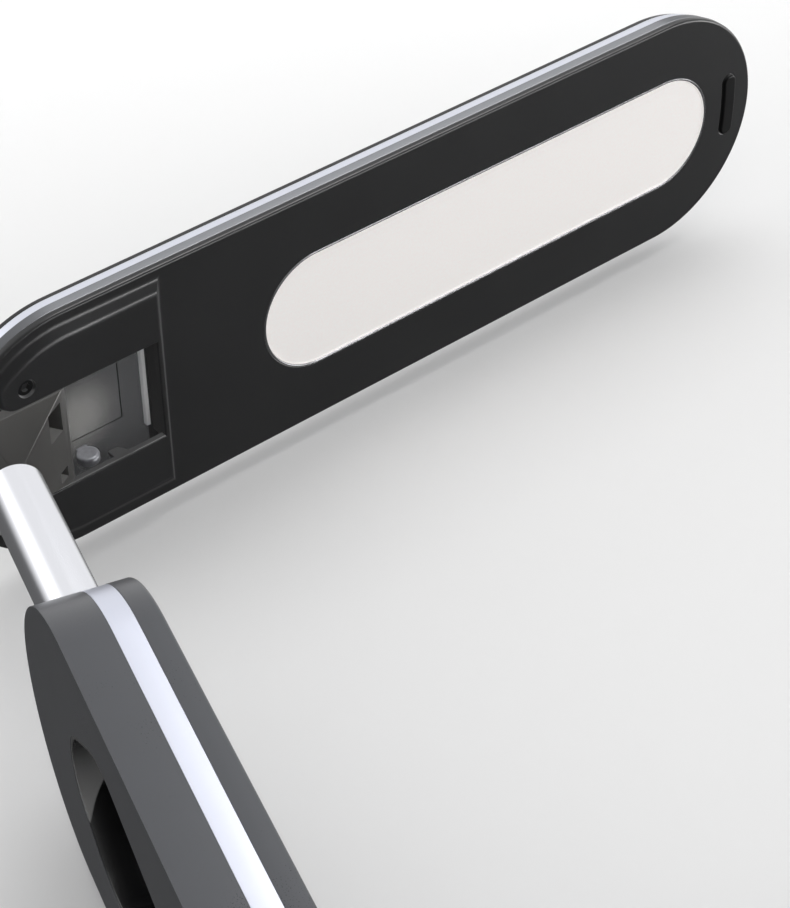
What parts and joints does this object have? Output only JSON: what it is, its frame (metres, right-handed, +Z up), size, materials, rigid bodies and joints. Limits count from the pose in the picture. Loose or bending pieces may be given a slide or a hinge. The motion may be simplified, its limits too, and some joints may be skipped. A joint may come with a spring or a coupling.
{
  "type": "desk lamp with wireless charger",
  "caption": "Desk lamp with a flat pill-shaped light head on a swivel neck, a slab stem with a drop-shaped opening, and an oblong base with a wireless charging disc.",
  "frame": {"origin": "centre of the base on the desk, at the underside of the grip pad", "axes": "+X towards the front, the side the head reaches out to; +Y to the lamp's left; +Z up from the desk"},
  "size_m": [0.3058, 0.112, 0.4145],
  "materials": {
    "dark_shell": "satin, moulded",
    "stem_shell": "satin, moulded, dark blue-grey",
    "silver_band": "fine satin, anodised",
    "tube_metal": "satin, drawn",
    "bracket_metal": "smooth dark coat",
    "steel": "plain",
    "ballast_steel": "matte grey coat",
    "leaf_steel": "satin, light grey",
    "black_screw": "black",
    "grip_rubber": "matte",
    "soft_disc": "fine matte",
    "coil_copper": "copper-coloured",
    "ferrite": "matte dark grey",
    "board": "green laminate",
    "white_plastic": "plain",
    "bush_plastic": "ivory, self-lubricating",
    "diffuser": "satin, warm white, translucent",
    "grey_trim": "satin grey",
    "clear_guide": "clear",
    "light_chip": "yellow lens",
    "button_plastic": "satin black",
    "dark_liner": "satin near-black",
    "lens": "frosted"
  },
  "bodies": {
    "base": {"grip_pad": "grip_rubber", "base_bottom_shell": "dark_shell", "base_band": "silver_band", "base_top_shell": "dark_shell", "ballast_plate": "ballast_steel", "charging_disc": "soft_disc", "charge_ring": "silver_band", "charging_coil": "coil_copper", "ferrite_plate": "ferrite", "coil_carrier": "white_plastic", "charger_board": "board", "board_posts": "steel", "power_inlet": "steel", "inlet_board": "board", "base_screws": "steel", "button_switch": "button_plastic", "status_lens": "lens", "stem_rear_shell": "stem_shell", "stem_band": "silver_band", "stem_front_shell": "stem_shell", "opening_liner": "dark_liner", "stem_dowels": "steel", "swivel_bush": "bush_plastic"},
    "base_button": {"base_button": "button_plastic"},
    "neck": {"bush_clip": "steel", "swivel_spindle": "steel", "neck_tube": "tube_metal", "neck_bracket": "bracket_metal"},
    "head": {"hinge_pin": "steel", "hinge_washers": "bush_plastic", "hinge_leaf": "leaf_steel", "hinge_flap": "leaf_steel", "hinge_barrel": "leaf_steel", "hinge_cover": "dark_shell", "cover_screws": "black_screw", "head_top_cover": "dark_shell", "head_frame": "silver_band", "head_lower_shell": "dark_shell", "diffuser": "diffuser", "diffuser_trim": "grey_trim", "light_guide": "clear_guide", "reflector_sheet": "white_plastic", "light_strips": "white_plastic", "light_chips": "light_chip", "heat_spreader": "silver_band", "head_board": "board", "switch_board": "board"},
    "head_switch": {"head_switch": "button_plastic"}
  },
  "joints": [
    {"name": "neck_swivel", "type": "hinge", "parent": "base", "child": "neck", "pos_m": [-0.062, 0, 0.238], "axis": [0, 0, 1], "range_deg": [-90, 90]},
    {"name": "head_tilt", "type": "hinge", "parent": "neck", "child": "head", "pos_m": [-0.0453, 0, 0.3356], "axis": [0, -1, 0], "range_deg": [-80, 14]},
    {"name": "press_head_switch", "type": "slide", "parent": "head", "child": "head_switch", "axis": [-0.2773, 0, 0.9608], "range_m": [0, 0.0006], "stiffness_N_per_m": 300, "springref_m": -0.001},
    {"name": "press_base_button", "type": "slide", "parent": "base", "child": "base_button", "axis": [0, 0, -1], "range_m": [0, 0.0008], "stiffness_N_per_m": 300, "springref_m": -0.001}
  ]
}
